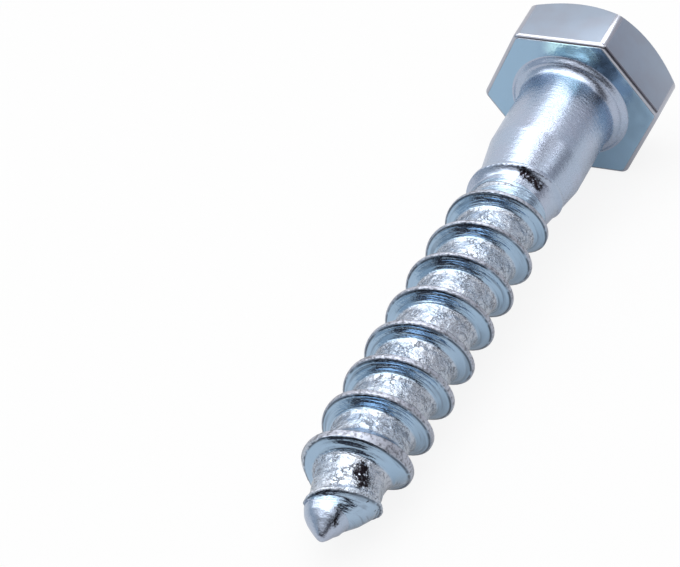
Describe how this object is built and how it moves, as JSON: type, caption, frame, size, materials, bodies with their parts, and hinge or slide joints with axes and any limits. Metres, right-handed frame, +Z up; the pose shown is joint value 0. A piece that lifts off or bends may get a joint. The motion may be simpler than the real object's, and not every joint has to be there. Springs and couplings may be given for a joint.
{
  "type": "lag screw",
  "caption": "Hexagon-head lag screw of zinc-plated steel with a plain shank, a coarse wood thread and a gimlet point, for fastening into timber.",
  "frame": {"origin": "centre of the lying screw's footprint, on the floor it rests on", "axes": "+Z up; +X along the screw from its head towards its point, level with the floor, while the screw's own axis dips 3.8 degrees towards the point; +Y across it"},
  "size_m": [0.053, 0.0148, 0.0133],
  "materials": {
    "zinc_plated_steel": "bright blue-white zinc plating, smooth on the head and shank, rough where the thread was rolled"
  },
  "bodies": {
    "root": {"lag_screw": "zinc_plated_steel"}
  },
  "joints": []
}
